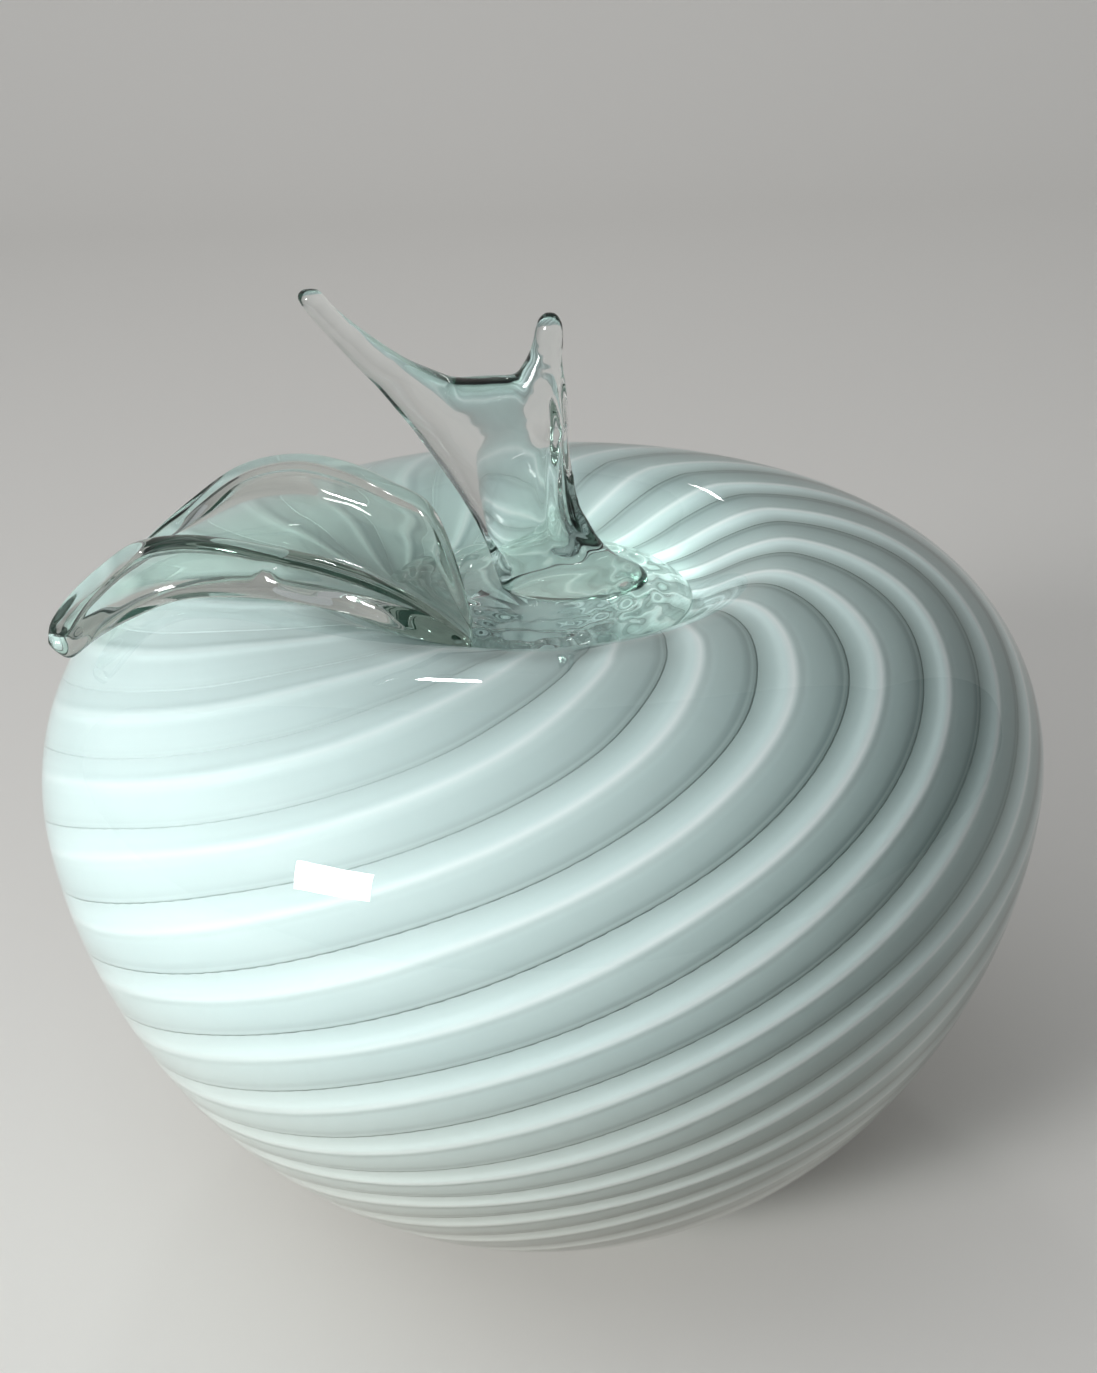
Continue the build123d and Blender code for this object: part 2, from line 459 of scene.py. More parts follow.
def opal_material(apple):
    """Opal band: a painted highlight on the crest line and painted shade in the grooves over the
    opal's own tone, washed out by painted light at the left and tinted beige below by a painted
    reflection.
    """
    material, board = new_material("opal_glass")
    place = board.add("ShaderNodeTexCoord").out("Object")
    spot = board.axes(place)
    across = board.add("ShaderNodeAttribute", {"attribute_name": "across"}).out("Fac")
    across = across + (board.noise(place, *OPAL_CLOUD) - 0.5) * STRIPE_WANDER
    # Painted light: the ramp lights the band's rise and crest and shades its flat and grooves
    stops = [(share, rgb(colour)) for share, colour in OPAL_LIT_SHADED_STOPS]
    milk = board.add("ShaderNodeValToRGB", {"stops": stops}, {0: across})
    # Painted light: the stripes wash out to the plain opal colour towards the left, where the key
    # lamp falls
    left_wash = board.slope(spot.out("X"), LEFT_WASH_SPAN, (0.0, LEFT_WASH_SHARE))
    drift = board.noise(place, *OPAL_DRIFT) * DRIFT_RANGE + DRIFT_LEAST
    milk = board.mix(left_wash * drift, milk, opaque(apple.opal_colour))
    milk = milky_centre(board, milk, spot, OPAL_CENTRE_SPAN)
    # Painted reflection: the lower body tinted beige, standing in for a wooden table reflected in
    # it
    table_reflection = board.slope(spot.out("Z"), TABLE_REFLECTION_SPAN, (0.0, TABLE_REFLECTION_SHARE))
    milk = board.mix(table_reflection, milk, opaque(rgb(TABLE_REFLECTION_COLOUR)))
    seeds = board.add("ShaderNodeTexVoronoi", None, {"Vector": place, "Scale": SPECK_SCALE})
    speck = board.maths("LESS_THAN", seeds, SPECK_SIZE)
    milk = board.mix(speck * SPECK_SHARE, milk, opaque(rgb(SPECK_COLOUR)))
    shell = board.add("ShaderNodeBsdfPrincipled", None,
                      {"Base Color": milk, "Roughness": 0.4, "IOR": 1.2})
    board.add("ShaderNodeOutputMaterial", None, {"Surface": shell})
    return material


def underlay_material(apple):
    """Milky grey-green glass between and under the bands."""
    material, board = new_material("milky_glass")
    place = board.add("ShaderNodeTexCoord").out("Object")
    milk = board.mix(board.noise(place, *UNDERLAY_CLOUD), opaque(apple.underlay_colour),
                     opaque(rgb(UNDERLAY_CLOUD_COLOUR)))
    milk = milky_centre(board, milk, board.axes(place), UNDERLAY_CENTRE_SPAN)
    shell = board.add("ShaderNodeBsdfPrincipled", None, {"Base Color": milk, "Roughness": 0.45})
    board.add("ShaderNodeOutputMaterial", None, {"Surface": shell})
    return material


# ---------------------------------------------------------------- settings

class AppleSettings(bpy.types.PropertyGroup):
    band_count: IntProperty(
        name="Bands", description="Number of opal bands round the body", default=18, min=3)
    band_height: FloatProperty(
        name="Band height", description="How far a band stands off the underlay",
        default=1.5 * MM, subtype="DISTANCE", unit="LENGTH", precision=4)
    band_width_share: FloatProperty(
        name="Band width", description="Band width as a share of its pitch",
        default=1.015, subtype="FACTOR", min=0.2, max=1.1)
    band_phase: FloatProperty(
        name="Band phase", description="Turn of the first band round the axis",
        default=math.radians(-81), subtype="ANGLE", unit="ROTATION")
    # The opal colour is also the colour the painted light wash at the left fades to
    opal_colour: FloatVectorProperty(
        name="Opal", description="Colour of the opal bands where their stripes fade",
        size=3, default=rgb("E0F0F0"), subtype="COLOR", min=0, max=1)
    underlay_colour: FloatVectorProperty(
        name="Underlay", description="Colour of the milky glass under the bands",
        size=3, default=rgb("99ABA8"), subtype="COLOR", min=0, max=1)
    glass_tint: FloatVectorProperty(
        name="Clear glass", description="Tint of the body's and the stem's clear glass",
        size=3, default=(0.965, 0.99, 0.98), subtype="COLOR", min=0, max=1)
    leaf_tint: FloatVectorProperty(
        name="Leaf glass", description="Tint of the leaf's clear glass",
        size=3, default=(0.86, 0.905, 0.875), subtype="COLOR", min=0, max=1)
    leaf_thickness: FloatProperty(
        name="Leaf thickness", description="Thickness of the leaf",
        default=3.2 * MM, subtype="DISTANCE", unit="LENGTH", precision=4)
    floor_colour: FloatVectorProperty(
        name="Floor", description="Colour of the pale floor",
        size=3, default=rgb("EFEDE9"), subtype="COLOR", min=0, max=1)


class PieceOperator:
    bl_options = {"REGISTER", "UNDO"}

    @property
    def apple(self):
        return bpy.context.scene.glass_apple


# ---------------------------------------------------------------- body pieces

# Depths of the faces below the outer surface, in millimetres, and sides round the axis
FILL_DEPTH = 5.75
UNDERLAY_DEPTH = 5.6
UNDERLAY_BACK_DEPTH = 6.5
UNDERLAY_CAP_DROPS = (1.0, 2.2)
BAND_ROOT_DEPTH = 5.3
CASING_SIDES = 256
UNDERLAY_SIDES = 192


class APPLE_OT_casing(PieceOperator, bpy.types.Operator):
    """Clear outer casing with its fill glass down to the underlay"""
    bl_idname = "apple.casing"
    bl_label = "Clear casing"

    def execute(self, context):
        outer, inner = profile(0.0), profile(FILL_DEPTH)
        loop = [(0, 0.0), *outer, *inner[::-1], (0, FILL_DEPTH)]
        glass = clear_glass("casing_glass", self.apple.glass_tint)
        casing = turned("clear_casing", loop, CASING_SIDES, glass)
        hand_over(casing, "clear_glass", "clear_outer_casing")
        return {"FINISHED"}


class APPLE_OT_underlay(PieceOperator, bpy.types.Operator):
    """Milky underlay that shows between the bands and closes the blow hole"""
    bl_idname = "apple.underlay"
    bl_label = "Milky underlay"

    def execute(self, context):
        outer, inner = profile(UNDERLAY_DEPTH), profile(UNDERLAY_BACK_DEPTH)
        cap = [(0, outer[-1][1] - drop) for drop in UNDERLAY_CAP_DROPS]
        loop = [(0, UNDERLAY_DEPTH), *outer, *cap, *inner[::-1], (0, UNDERLAY_BACK_DEPTH)]
        underlay = turned("milky_lining", loop, UNDERLAY_SIDES, underlay_material(self.apple))
        hand_over(underlay, "milky_glass", "milky_underlay")
        return {"FINISHED"}


# Turn of a band in degrees at even steps from the base to the blow hole
BAND_TURNS = [-191, -179, -165, -151, -136, -120, -103, -85, -64, -46, -31, -17, -2.5, 12, 26.5,
              42, 56, 68, 77, 85, 92, 103, 127, 143, 150]

# Height of a band over its width: a slow rise to the crest, a small step and a long fall
BAND_PROFILE = [(0.0, 0.47), (0.06, 0.5), (0.2, 0.64), (0.4, 1.0), (0.5, 0.84), (0.7, 0.74),
                (0.84, 0.64), (0.92, 0.53), (1.0, 0.47)]

# The line that the bands follow, and its run over the closed blow hole as shares of the rim
BAND_LINE_POINTS = 240
BAND_END_SHARES = (0.85, 0.7, 0.55, 0.4)
BAND_END_DROP = 0.6

# A strip's grid: some of its rows across lie along the flat back
BAND_STEPS_ALONG = 160
BAND_STEPS_ACROSS = 34
BAND_BACK_STEPS = 4
BAND_TAPER_RATE = 30.0
FRONT_TOLERANCE = 0.001
STRIP_MERGE_GAP = 1e-6
BAND_MERGE_GAP = 1e-7


def swirl_tree(material, sizes):
    """Geometry Nodes: a crested strip that follows the profile line, copied round the axis."""
    tree = bpy.data.node_groups.new("swirl_bands", "GeometryNodeTree")
    face = tree.interface
    face.new_socket("Geometry", in_out="INPUT", socket_type="NodeSocketGeometry")
    for name, value in sizes.items():
        kind = "NodeSocketInt" if isinstance(value, int) else "NodeSocketFloat"
        face.new_socket(name, in_out="INPUT", socket_type=kind).default_value = value
    face.new_socket("Geometry", in_out="OUTPUT", socket_type="NodeSocketGeometry")
    board = Board(tree)
    given = board.add("NodeGroupInput")

    # The grid's X runs along the strip; its Y goes over the front and back along the flat
    grid = board.add("GeometryNodeMeshGrid", None, {
        "Size X": 1.0, "Size Y": 1.0, "Vertices X": given.out("Steps along"),
        "Vertices Y": given.out("Steps across")})
    parts = board.axes(grid.out("UV Map"))
    along, around = parts.out("X"), parts.out("Y")
    front = 1.0 - BAND_BACK_STEPS / (BAND_STEPS_ACROSS - 1)
    place_on_top = board.maths("MINIMUM", around / front, 1.0)
    place_behind = board.maths("MAXIMUM", around - front, 0.0) / (1.0 - front)
    share = place_on_top - place_behind
    on_top = board.maths("LESS_THAN", around, front + FRONT_TOLERANCE)
    across = share * 2.0 - 1.0

    # Where the profile line is at that length, which way it runs and how far it has turned
    line = board.add("GeometryNodeMeshToCurve", None, {"Mesh": given.out("Geometry")})
    turn = board.add("GeometryNodeInputNamedAttribute", {"data_type": "FLOAT"}, {"Name": "turn"})
    spot = board.add("GeometryNodeSampleCurve", {"mode": "FACTOR", "data_type": "FLOAT"},
                     {"Curves": line, "Value": turn, "Factor": along})
    here, way = board.axes(spot.out("Position")), board.axes(spot.out("Tangent"))
    ends = board.maths("MINIMUM", along * BAND_TAPER_RATE, (1.0 - along) * BAND_TAPER_RATE)
    taper = board.maths("SQRT", board.maths("MINIMUM", ends, 1.0))
    swell = board.add("ShaderNodeFloatCurve", {"curve": BAND_PROFILE}, {"Value": share})
    rise = swell * on_top * given.out("Height") * taper
    radius = here.out("X") + way.out("Z") * rise
    height = here.out("Z") - way.out("X") * rise
    half = math.pi / given.out("Count")
    width = across * half * given.out("Width share") * taper
    angle = spot.out("Value") + given.out("Phase") + width
    place = board.vector(radius * board.maths("COSINE", angle),
                         radius * board.maths("SINE", angle), height)

    strip = board.add("GeometryNodeSetPosition", None,
                      {"Geometry": grid.out("Mesh"), "Position": place})
    strip = board.add("GeometryNodeStoreNamedAttribute", {"data_type": "FLOAT", "domain": "POINT"},
                      {"Geometry": strip, "Name": "across", "Value": share})
    strip = board.add("GeometryNodeMergeByDistance", None,
                      {"Geometry": strip, "Distance": STRIP_MERGE_GAP})
    strip = board.add("GeometryNodeSetShadeSmooth", None, {"Geometry": strip})
    points = board.add("GeometryNodePoints", None, {"Count": given.out("Count")})
    spin = board.vector(0.0, 0.0, board.add("GeometryNodeInputIndex") * 2.0 * half)
    solid = board.add("GeometryNodeInstanceOnPoints", None,
                      {"Points": points, "Instance": strip, "Rotation": spin})
    solid = board.add("GeometryNodeRealizeInstances", None, {"Geometry": solid})
    solid = board.add("GeometryNodeSetMaterial", None, {"Geometry": solid, "Material": material})
    board.add("NodeGroupOutput", None, {"Geometry": solid})
    return tree


def fill_inputs(modifier, values):
    """Sets a Geometry Nodes modifier's inputs by their socket identifiers."""
    for item in modifier.node_group.interface.items_tree:
        if item.item_type == "SOCKET" and item.in_out == "INPUT" and item.name in values:
            modifier[item.identifier] = values[item.name]


class APPLE_OT_bands(PieceOperator, bpy.types.Operator):
    """Twisted opal bands between the underlay and the casing"""
    bl_idname = "apple.bands"
    bl_label = "Opal bands"

    def execute(self, context):
        apple = self.apple
        points = even_steps(profile(BAND_ROOT_DEPTH), BAND_LINE_POINTS)
        turns = np.radians(smooth_through(BAND_TURNS, BAND_LINE_POINTS))
        rim_radius, rim_height = points[-1]
        centre = [(rim_radius * share, rim_height - BAND_END_DROP * (1 - share))
                  for share in BAND_END_SHARES]
        points = np.concatenate([points, centre])
        turns = np.r_[turns, np.full(len(centre), turns[-1])].astype(np.float32)
        line = np.insert(points, 1, 0.0, axis=1) * MM
        mesh = bpy.data.meshes.new("opal_bands")
        mesh.from_pydata([tuple(p) for p in line], [(i, i + 1) for i in range(len(line) - 1)], [])
        mesh.attributes.new("turn", "FLOAT", "POINT").data.foreach_set("value", turns)
        bands = bpy.data.objects.new("opal_bands", mesh)
        context.scene.collection.objects.link(bands)
        sizes = {"Count": apple.band_count, "Steps along": BAND_STEPS_ALONG,
                 "Steps across": BAND_STEPS_ACROSS, "Height": apple.band_height,
                 "Width share": apple.band_width_share, "Phase": apple.band_phase}
        modifier = bands.modifiers.new("swirl", "NODES")
        modifier.node_group = swirl_tree(opal_material(apple), sizes)
        fill_inputs(modifier, sizes)
        apply_modifiers(bands)
        tidy_mesh(bands, BAND_MERGE_GAP)
        hand_over(bands, "opal_glass", "opal_swirl_bands")
        return {"FINISHED"}


class APPLE_OT_bubble(PieceOperator, bpy.types.Operator):
    """Clear inner bubble, kept as the frame has it"""
    bl_idname = "apple.bubble"
    bl_label = "Inner bubble"

    def execute(self, context):
        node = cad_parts["clear_inner_bubble"]
        node.data.materials.clear()
        node.data.materials.append(clear_glass("lining_glass", self.apple.glass_tint))
        return {"FINISHED"}


# ---------------------------------------------------------------- seal, stem and leaf

# Seal: a flat pool that falls like a lens to the dimple's wall, over the plug in the blow hole
SEAL_TOP = 97.0
SEAL_SIDES = 160
POOL_RINGS = 110
POOL_FLAT_RADIUS = 17.5
POOL_REACH = 23.5
POOL_SINK = 0.1
POOL_EDGE_RISE = 0.15
WALL_GAP = 0.05
WALL_STEPS = 60
PLUG = [(9.9, 78.0), (8.8, 76.2), (0, 76.0)]

# The ripple in rings round the stem's foot, and the waves on the top between these radii
RING_HEIGHT, RING_RATE, RING_RADIUS, RING_SPREAD = 0.18, 2.1, 17.0, 4.5
WAVE_DEPTH_BELOW_TOP = 1.6
WAVE_IN_RADII, WAVE_OUT_RADII = (9, 14), (22, 19)
SPIRAL_HEIGHT, SPIRAL_ARMS, SPIRAL_RATE = 0.12, 5, 0.6
CHANCE_SEED, CHANCE_WAVES, CHANCE_HEIGHT = 7, 9, 0.07
CHANCE_SHIFT_MOST, CHANCE_PITCHES = 6.28, (2.6, 6.0)


class APPLE_OT_seal(PieceOperator, bpy.types.Operator):
    """Pool of clear glass in the dimple with ripples, and the plug in the blow hole"""
    bl_idname = "apple.seal"
    bl_label = "Dimple seal"

    def pool_loop(self):
        """Radius and height from the middle of the pool to its edge, down the wall to the plug."""
        wall = profile(WALL_GAP, WALL_STEPS)[-WALL_STEPS - 1:]
        wall = [tuple(p) for p in wall if PLUG[0][0] < p[0] < POOL_REACH]
        edge_radius, edge_height = wall[0]
        top = []
        for radius in np.linspace(0, edge_radius, POOL_RINGS)[:-1]:
            fall = fade(radius, POOL_FLAT_RADIUS, edge_radius) ** 2
            ring = RING_HEIGHT * math.cos(radius * RING_RATE)
            ring *= math.exp(-((radius - RING_RADIUS) / RING_SPREAD) ** 2)
            level = (SEAL_TOP - POOL_SINK) * (1 - fall) + (edge_height + POOL_EDGE_RISE) * fall
            top.append((radius, level + ring * (1 - fall)))
        return [*top, *wall, *PLUG]

    def execute(self, context):
        glass = clear_glass("seal_glass", self.apple.glass_tint)
        seal = turned("dimple_pool", self.pool_loop(), SEAL_SIDES, glass)
        places = np.array([v.co for v in seal.data.vertices])
        turn = np.arctan2(places[:, 1], places[:, 0])
        radius = np.hypot(places[:, 0], places[:, 1]) / MM
        mask = places[:, 2] / MM > SEAL_TOP - WAVE_DEPTH_BELOW_TOP
        mask = mask * fade(radius, *WAVE_IN_RADII) * fade(radius, *WAVE_OUT_RADII)
        waves = SPIRAL_HEIGHT * np.sin(SPIRAL_ARMS * turn + SPIRAL_RATE * radius)
        chance = np.random.default_rng(CHANCE_SEED)
        for _ in range(CHANCE_WAVES):
            way = chance.uniform(0, math.pi)
            shift = chance.uniform(0, CHANCE_SHIFT_MOST)
            pitch = chance.uniform(*CHANCE_PITCHES)
            across = places[:, 0] * math.cos(way) + places[:, 1] * math.sin(way)
            waves += CHANCE_HEIGHT * np.sin(2 * math.pi * across / MM / pitch + shift)
        places[:, 2] += waves * mask * MM
        move_vertices(seal, places)
        hand_over(seal, "stem_glass", "dimple_seal")
        return {"FINISHED"}


# Stem: level slices with their height, left and right edge and half depth, in millimetres
TRUNK = [
    (94.2, -3.0, 13.0, 5.0), (95.4, -4.8, 15.6, 6.6), (97.2, -5.4, 16.8, 7.2),
    (98.6, -5.9, 15.8, 6.9), (100.2, -6.4, 12.8, 6.0), (102.4, -6.9, 10.2, 5.2),
    (105.0, -7.8, 8.2, 4.7), (108.2, -9.2, 6.5, 4.5), (112.0, -11.2, 5.7, 4.4),
    (115.0, -13.0, 5.4, 4.3), (118.0, -14.8, 5.2, 4.2), (121.8, -17.2, 5.1, 4.0),
    (125.0, -18.4, 5.0, 3.6), (127.3, -16.4, 4.4, 3.0), (128.5, -12.0, 2.0, 1.6),
]
LONG_HORN = [
    (118.0, -14.0, -2.0, 3.4), (121.8, -17.2, -3.0, 3.6), (125.0, -19.6, -5.0, 3.4),
    (128.0, -21.8, -9.4, 3.1), (130.0, -23.5, -13.8, 3.1), (131.5, -24.8, -16.8, 2.9),
    (134.5, -27.2, -21.0, 2.6), (137.0, -29.2, -24.0, 2.4), (139.5, -31.0, -26.6, 2.2),
    (141.0, -31.8, -27.6, 1.9), (142.0, -31.2, -28.3, 1.1),
]
SHORT_HORN = [
    (120.0, -3.0, 5.2, 3.8), (125.0, -2.6, 5.0, 3.6), (128.5, -1.8, 4.9, 3.2),
    (130.0, -1.0, 4.8, 2.9), (132.2, 0.2, 5.0, 2.5), (135.0, 1.0, 5.1, 2.2),
    (136.6, 1.3, 4.9, 1.8), (137.6, 2.1, 4.2, 0.9),
]
STEM_SLICES = 70
STEM_SIDES = 48
STEM_VOXEL = 0.5
STEM_MELT_ROUNDS = 10
STEM_LAST_ROUNDS = 4
STEM_WAVES = (0.22, 110.0)

# Pulled folds on the stem's right side: where they fade in and out, then their form
FOLD_IN_X, FOLD_IN_Z, FOLD_OUT_Z = (0.5, 3.5), (101, 106), (131, 126)
FOLD_AXIS_X = 1.0
FOLD_HEIGHT, FOLD_RATE, FOLD_SHIFT = 0.6, 6.5, 0.8
FOLD_WANDER, FOLD_WANDER_RATE = 1.1, 0.3


def stacked(name, rows):
    """Closed skin over level oval slices."""
    turn = np.linspace(0, 2 * math.pi, STEM_SIDES, endpoint=False)
    loops = []
    for z, left, right, deep in smooth_through(rows, STEM_SLICES):
        x = (left + right) / 2 + (right - left) / 2 * np.cos(turn)
        loops.append(np.stack([x, deep * np.sin(turn), np.full(STEM_SIDES, z)], 1))
    return skin(name, loops)


class APPLE_OT_stem(PieceOperator, bpy.types.Operator):
    """Clear stem: a flared foot and two horns, one long and one short"""
    bl_idname = "apple.stem"
    bl_label = "Stem"

    def execute(self, context):
        stem = joined("glass_stem", [stacked("trunk", TRUNK), stacked("long_horn", LONG_HORN),
                                     stacked("short_horn", SHORT_HORN)])
        melted(stem, STEM_VOXEL, STEM_MELT_ROUNDS)
        places = np.array([v.co for v in stem.data.vertices]) / MM
        normals = np.array([v.normal for v in stem.data.vertices])
        x, y, z = places.T
        mask = fade(x, *FOLD_IN_X) * fade(z, *FOLD_IN_Z) * fade(z, *FOLD_OUT_Z)
        wander = FOLD_WANDER * np.sin(FOLD_WANDER_RATE * z)
        folds = np.sin(FOLD_RATE * np.arctan2(y, x - FOLD_AXIS_X) + wander + FOLD_SHIFT)
        move_vertices(stem, (places + normals * (folds * FOLD_HEIGHT * mask)[:, None]) * MM)
        relaxed(stem, STEM_LAST_ROUNDS)
        stem.data.materials.clear()
        stem.data.materials.append(clear_glass("stem_glass", self.apple.glass_tint, STEM_WAVES))
        hand_over(stem, "stem_glass", "clear_stem")
        return {"FINISHED"}


# Leaf: rows from the root to the tip, with x, then the y and the height of the upper face at the
# near edge, the near lobe, the crease, the far wing and the far edge
LEAF = [
    (-8.5, (-25.5, -24.2, -22.4, -20.2, -17.4), (98.2, 99.0, 98.8, 99.4, 100.2)),
    (-14.0, (-26.0, -22.3, -18.0, -7.5, 3.5), (102.2, 103.0, 102.2, 106.2, 108.0)),
    (-21.0, (-26.0, -19.5, -14.0, -1.5, 13.0), (104.6, 106.0, 104.4, 108.6, 109.8)),
    (-29.0, (-22.0, -15.0, -9.0, 4.5, 20.5), (105.2, 107.7, 105.5, 110.0, 110.8)),
    (-37.0, (-18.4, -10.8, -4.4, 9.5, 24.0), (105.4, 108.0, 105.7, 110.6, 110.8)),
    (-45.0, (-15.4, -5.8, 0.4, 10.5, 20.8), (104.8, 107.6, 105.4, 109.4, 110.2)),
    (-52.0, (-13.2, -3.4, 2.2, 7.4, 12.8), (103.2, 107.2, 105.0, 106.4, 107.4)),
    (-58.0, (-13.5, -4.0, 0.4, 3.0, 6.0), (100.8, 106.2, 104.8, 104.2, 103.2)),
    (-62.5, (-14.5, -7.5, -4.0, -1.0, 1.0), (98.4, 104.0, 103.2, 101.8, 100.0)),
    (-66.0, (-16.5, -11.0, -8.5, -6.0, -4.0), (95.9, 101.6, 101.2, 99.8, 97.8)),
    (-68.2, (-16.0, -13.2, -11.6, -10.2, -9.2), (96.0, 99.4, 99.2, 98.2, 96.8)),
    (-69.4, (-14.8, -13.6, -12.8, -12.0, -11.4), (96.6, 97.6, 97.7, 97.4, 96.6)),
]
LEAF_ROWS = 110
LEAF_COLUMNS = 72
LEAF_END_CROWDING = 0.3
LEAF_WAVES = (0.3, 55.0)

# Its thickness: the shares at the near edge and lost to the far one, how full its edges and ends
# are, and the height, place and spread of the beads along its edges
NEAR_THICKNESS_SHARE, THINNING_SHARE = 1.25, 0.35
EDGE_POWER, END_POWER = 9, 18
BEADS = [(0.45, 0.93), (0.3, 0.07)]
BEAD_SPREAD = 0.05
BEAD_FADE_RATE = 6
BLISTER_PLACE, BLISTER_HEIGHT, BLISTER_SPREAD = (-37.0, -16.0, 106.2), 0.8, 1.1


class APPLE_OT_leaf(PieceOperator, bpy.types.Operator):
    """Thick clear leaf folded along its crease, lying on the left shoulder"""
    bl_idname = "apple.leaf"
    bl_label = "Leaf"

    def thickness(self, u, v):
        """Half thickness at shares along and across the leaf."""
        half = self.apple.leaf_thickness / MM / 2 * (NEAR_THICKNESS_SHARE - THINNING_SHARE * v)
        half = half * np.sqrt(np.clip(1 - np.abs(2 * v - 1) ** EDGE_POWER, 0, 1))
        beads = sum(height * np.exp(-((v - place) / BEAD_SPREAD) ** 2) for height, place in BEADS)
        half = half * (1 + beads * np.clip(BEAD_FADE_RATE * u * (1 - u), 0, 1))
        return half * np.sqrt(np.clip(1 - np.abs(2 * u - 1) ** END_POWER, 0, 1))

    def execute(self, context):
        rows = [[(x, y, z) for y, z in zip(sides, heights)] for x, sides, heights in LEAF]
        along = (LEAF_END_CROWDING * eased(LEAF_ROWS)
                 + (1 - LEAF_END_CROWDING) * np.linspace(0, 1, LEAF_ROWS))
        across = eased(LEAF_COLUMNS)
        grid = np.swapaxes(smooth_through(rows, along), 0, 1)
        grid = np.swapaxes(smooth_through(grid, across), 0, 1)
        normal = np.cross(np.gradient(grid, axis=0), np.gradient(grid, axis=1))
        normal /= np.linalg.norm(normal, axis=2)[..., None]
        normal *= np.sign(normal[..., 2:3].mean())
        half = self.thickness(along[:, None], across[None, :])
        middle = grid - normal * (self.apple.leaf_thickness / MM / 2)
        far = ((grid - np.array(BLISTER_PLACE)) ** 2).sum(2)
        blister = BLISTER_HEIGHT * np.exp(-far / BLISTER_SPREAD)
        upper = middle + normal * (half + blister)[..., None]
        lower = middle - normal * half[..., None]
        loops = [np.concatenate([over, under[::-1][1:-1]]) for over, under in zip(upper, lower)]
        glass = clear_glass("leaf_glass", self.apple.leaf_tint, LEAF_WAVES)
        leaf = skin("glass_leaf", loops, glass)
        leaf.data.shade_smooth()
        hand_over(leaf, "stem_glass", "clear_leaf")
        return {"FINISHED"}


# ---------------------------------------------------------------- stage

# Camera, in metres, with the directions of its own axes
LENS, SENSOR_WIDTH = 49.37, 36.0
CLIP_RANGE = (0.01, 20)
CAMERA_PLACE = (0.0, -0.25715, 0.205844)
CAMERA_RIGHT = (0.99931399, -0.02011335, -0.03109657)
CAMERA_UP = (0.03677544, 0.4398182, 0.89733356)
CAMERA_FORWARD = (0.00437154, 0.89786157, -0.44025616)

# Floor, in millimetres: it runs back and turns up in a round cove to a wall
FLOOR_FRONT, FLOOR_BACK, FLOOR_SIDE = -900, 700, 1500
COVE_RADIUS, COVE_STEPS, COVE_START = 300, 14, 0.1
WALL_TOP = 1600
FLOOR_GRAIN, GRAIN_SHARE, GRAIN_COLOUR = (3.0, 2.0), 0.15, "F4F2EE"

# Surroundings: grey levels from below to overhead, brighter towards the left
SKY_STOPS = [
    (0.0, (0.35, 0.35, 0.35)), (0.5, (0.6, 0.6, 0.6)), (0.72, (0.8, 0.81, 0.82)),
    (1.0, (0.62, 0.64, 0.66)),
]
SKY_LEFT, SKY_RIGHT = 0.8, 0.22

# Lamps, in metres and watts: place, target, size, power
KEY_LEFT = ((-0.50, -0.49, 0.374), (0, 0, 0.08), (0.21, 0.15), 3.0)
KEY_TILT = 11
HIGH_BACK = ((-0.08, 0.62, 0.60), (0, 0, 0.1), (0.065, 0.022), 0.2)
SOFT_TOP = ((-0.25, -0.1, 0.9), (0, 0, 0.05), (0.7, 0.7), 0.6)


def area_light(name, place, target, size, power):
    data = bpy.data.lights.new(name, "AREA")
    data.shape = "RECTANGLE"
    data.size, data.size_y = size
    data.energy = power
    lamp = bpy.data.objects.new(name, data)
    lamp.location = place
    lamp.rotation_euler = (Vector(target) - Vector(place)).to_track_quat("-Z", "Y").to_euler()
    bpy.context.scene.collection.objects.link(lamp)
    return lamp


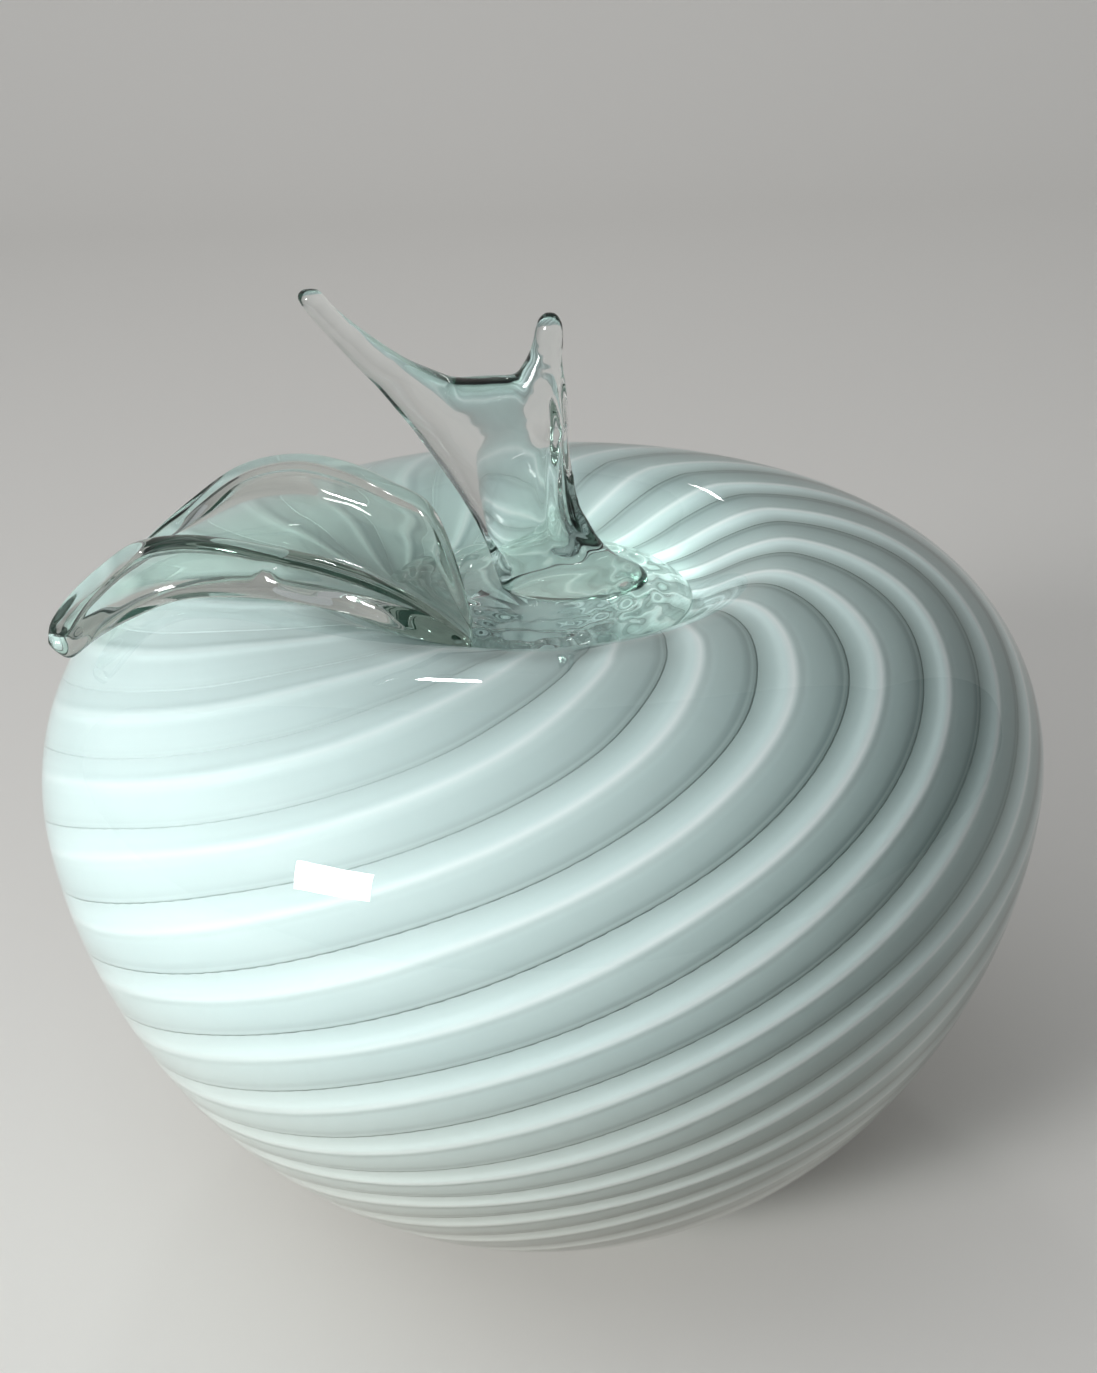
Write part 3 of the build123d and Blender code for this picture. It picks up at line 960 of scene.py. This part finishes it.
class APPLE_OT_stage(PieceOperator, bpy.types.Operator):
    """Camera, pale floor, soft light and pale surroundings"""
    bl_idname = "apple.stage"
    bl_label = "Stage"

    def execute(self, context):
        self.add_camera(context.scene)
        self.add_floor()
        self.add_surroundings(context.scene)
        key = area_light("key_left", *KEY_LEFT)
        key.rotation_euler.rotate_axis("Z", math.radians(KEY_TILT))
        area_light("high_back", *HIGH_BACK)
        soft = area_light("soft_top", *SOFT_TOP)
        soft.visible_glossy = False
        soft.visible_transmission = False
        return {"FINISHED"}

    def add_camera(self, scene):
        data = bpy.data.cameras.new("photo_camera")
        data.lens, data.sensor_width, data.sensor_fit = LENS, SENSOR_WIDTH, "AUTO"
        data.clip_start, data.clip_end = CLIP_RANGE
        camera = bpy.data.objects.new("photo_camera", data)
        turn = Matrix((CAMERA_RIGHT, CAMERA_UP, -Vector(CAMERA_FORWARD))).transposed()
        camera.matrix_world = Matrix.Translation(CAMERA_PLACE) @ turn.to_4x4()
        scene.collection.objects.link(camera)
        scene.camera = camera

    def add_floor(self):
        material, board = new_material("pale_floor")
        grain = board.noise(board.add("ShaderNodeTexCoord").out("Object"), *FLOOR_GRAIN)
        colour = board.mix(grain * GRAIN_SHARE, opaque(self.apple.floor_colour),
                           opaque(rgb(GRAIN_COLOUR)))
        cover = board.add("ShaderNodeBsdfPrincipled", None,
                          {"Base Color": colour, "Roughness": 0.7})
        board.add("ShaderNodeOutputMaterial", None, {"Surface": cover})
        line = [(FLOOR_FRONT, 0), (FLOOR_BACK, 0)]
        line += [(FLOOR_BACK + COVE_RADIUS * math.sin(a), COVE_RADIUS - COVE_RADIUS * math.cos(a))
                 for a in np.linspace(COVE_START, math.pi / 2, COVE_STEPS)]
        line += [(FLOOR_BACK + COVE_RADIUS, WALL_TOP)]
        vertices = [(x, y, z) for y, z in line for x in (-FLOOR_SIDE, FLOOR_SIDE)]
        faces = [(2 * i, 2 * i + 1, 2 * i + 3, 2 * i + 2) for i in range(len(line) - 1)]
        mesh_object("floor", vertices, faces, material)

    def add_surroundings(self, scene):
        world = bpy.data.worlds.new("studio")
        world.use_nodes = True
        scene.world = world
        board = Board(world.node_tree)
        way = board.axes(board.add("ShaderNodeTexCoord").out("Generated"))
        sky = board.add("ShaderNodeValToRGB", {"stops": SKY_STOPS}, {0: way.out("Z") * 0.5 + 0.5})
        level = board.slope(way.out("X"), (-1.0, 1.0), (SKY_LEFT, SKY_RIGHT))
        light = board.add("ShaderNodeBackground", None, {"Color": sky, "Strength": level})
        board.add("ShaderNodeOutputWorld", None, {"Surface": light})


class APPLE_PT_panel(bpy.types.Panel):
    """Builds the apple piece by piece"""
    bl_idname = "APPLE_PT_panel"
    bl_label = "Glass apple"
    bl_space_type = "VIEW_3D"
    bl_region_type = "UI"
    bl_category = "Apple"

    def draw(self, context):
        for name in AppleSettings.__annotations__:
            self.layout.prop(context.scene.glass_apple, name)
        for step in STEPS:
            self.layout.operator(step.bl_idname)


STEPS = (APPLE_OT_stage, APPLE_OT_casing, APPLE_OT_underlay, APPLE_OT_bands, APPLE_OT_bubble,
         APPLE_OT_seal, APPLE_OT_stem, APPLE_OT_leaf)
CLASSES = (AppleSettings, *STEPS, APPLE_PT_panel)


def register():
    for thing in CLASSES:
        bpy.utils.register_class(thing)
    bpy.types.Scene.glass_apple = PointerProperty(type=AppleSettings)


def unregister():
    del bpy.types.Scene.glass_apple
    for thing in reversed(CLASSES):
        bpy.utils.unregister_class(thing)


def main():
    """Builds everything in order."""
    register()
    bpy.context.scene.view_settings.view_transform = "Standard"
    for step in STEPS:
        group, name = step.bl_idname.split(".")
        getattr(getattr(bpy.ops, group), name)()


if __name__ == "__main__":
    main()
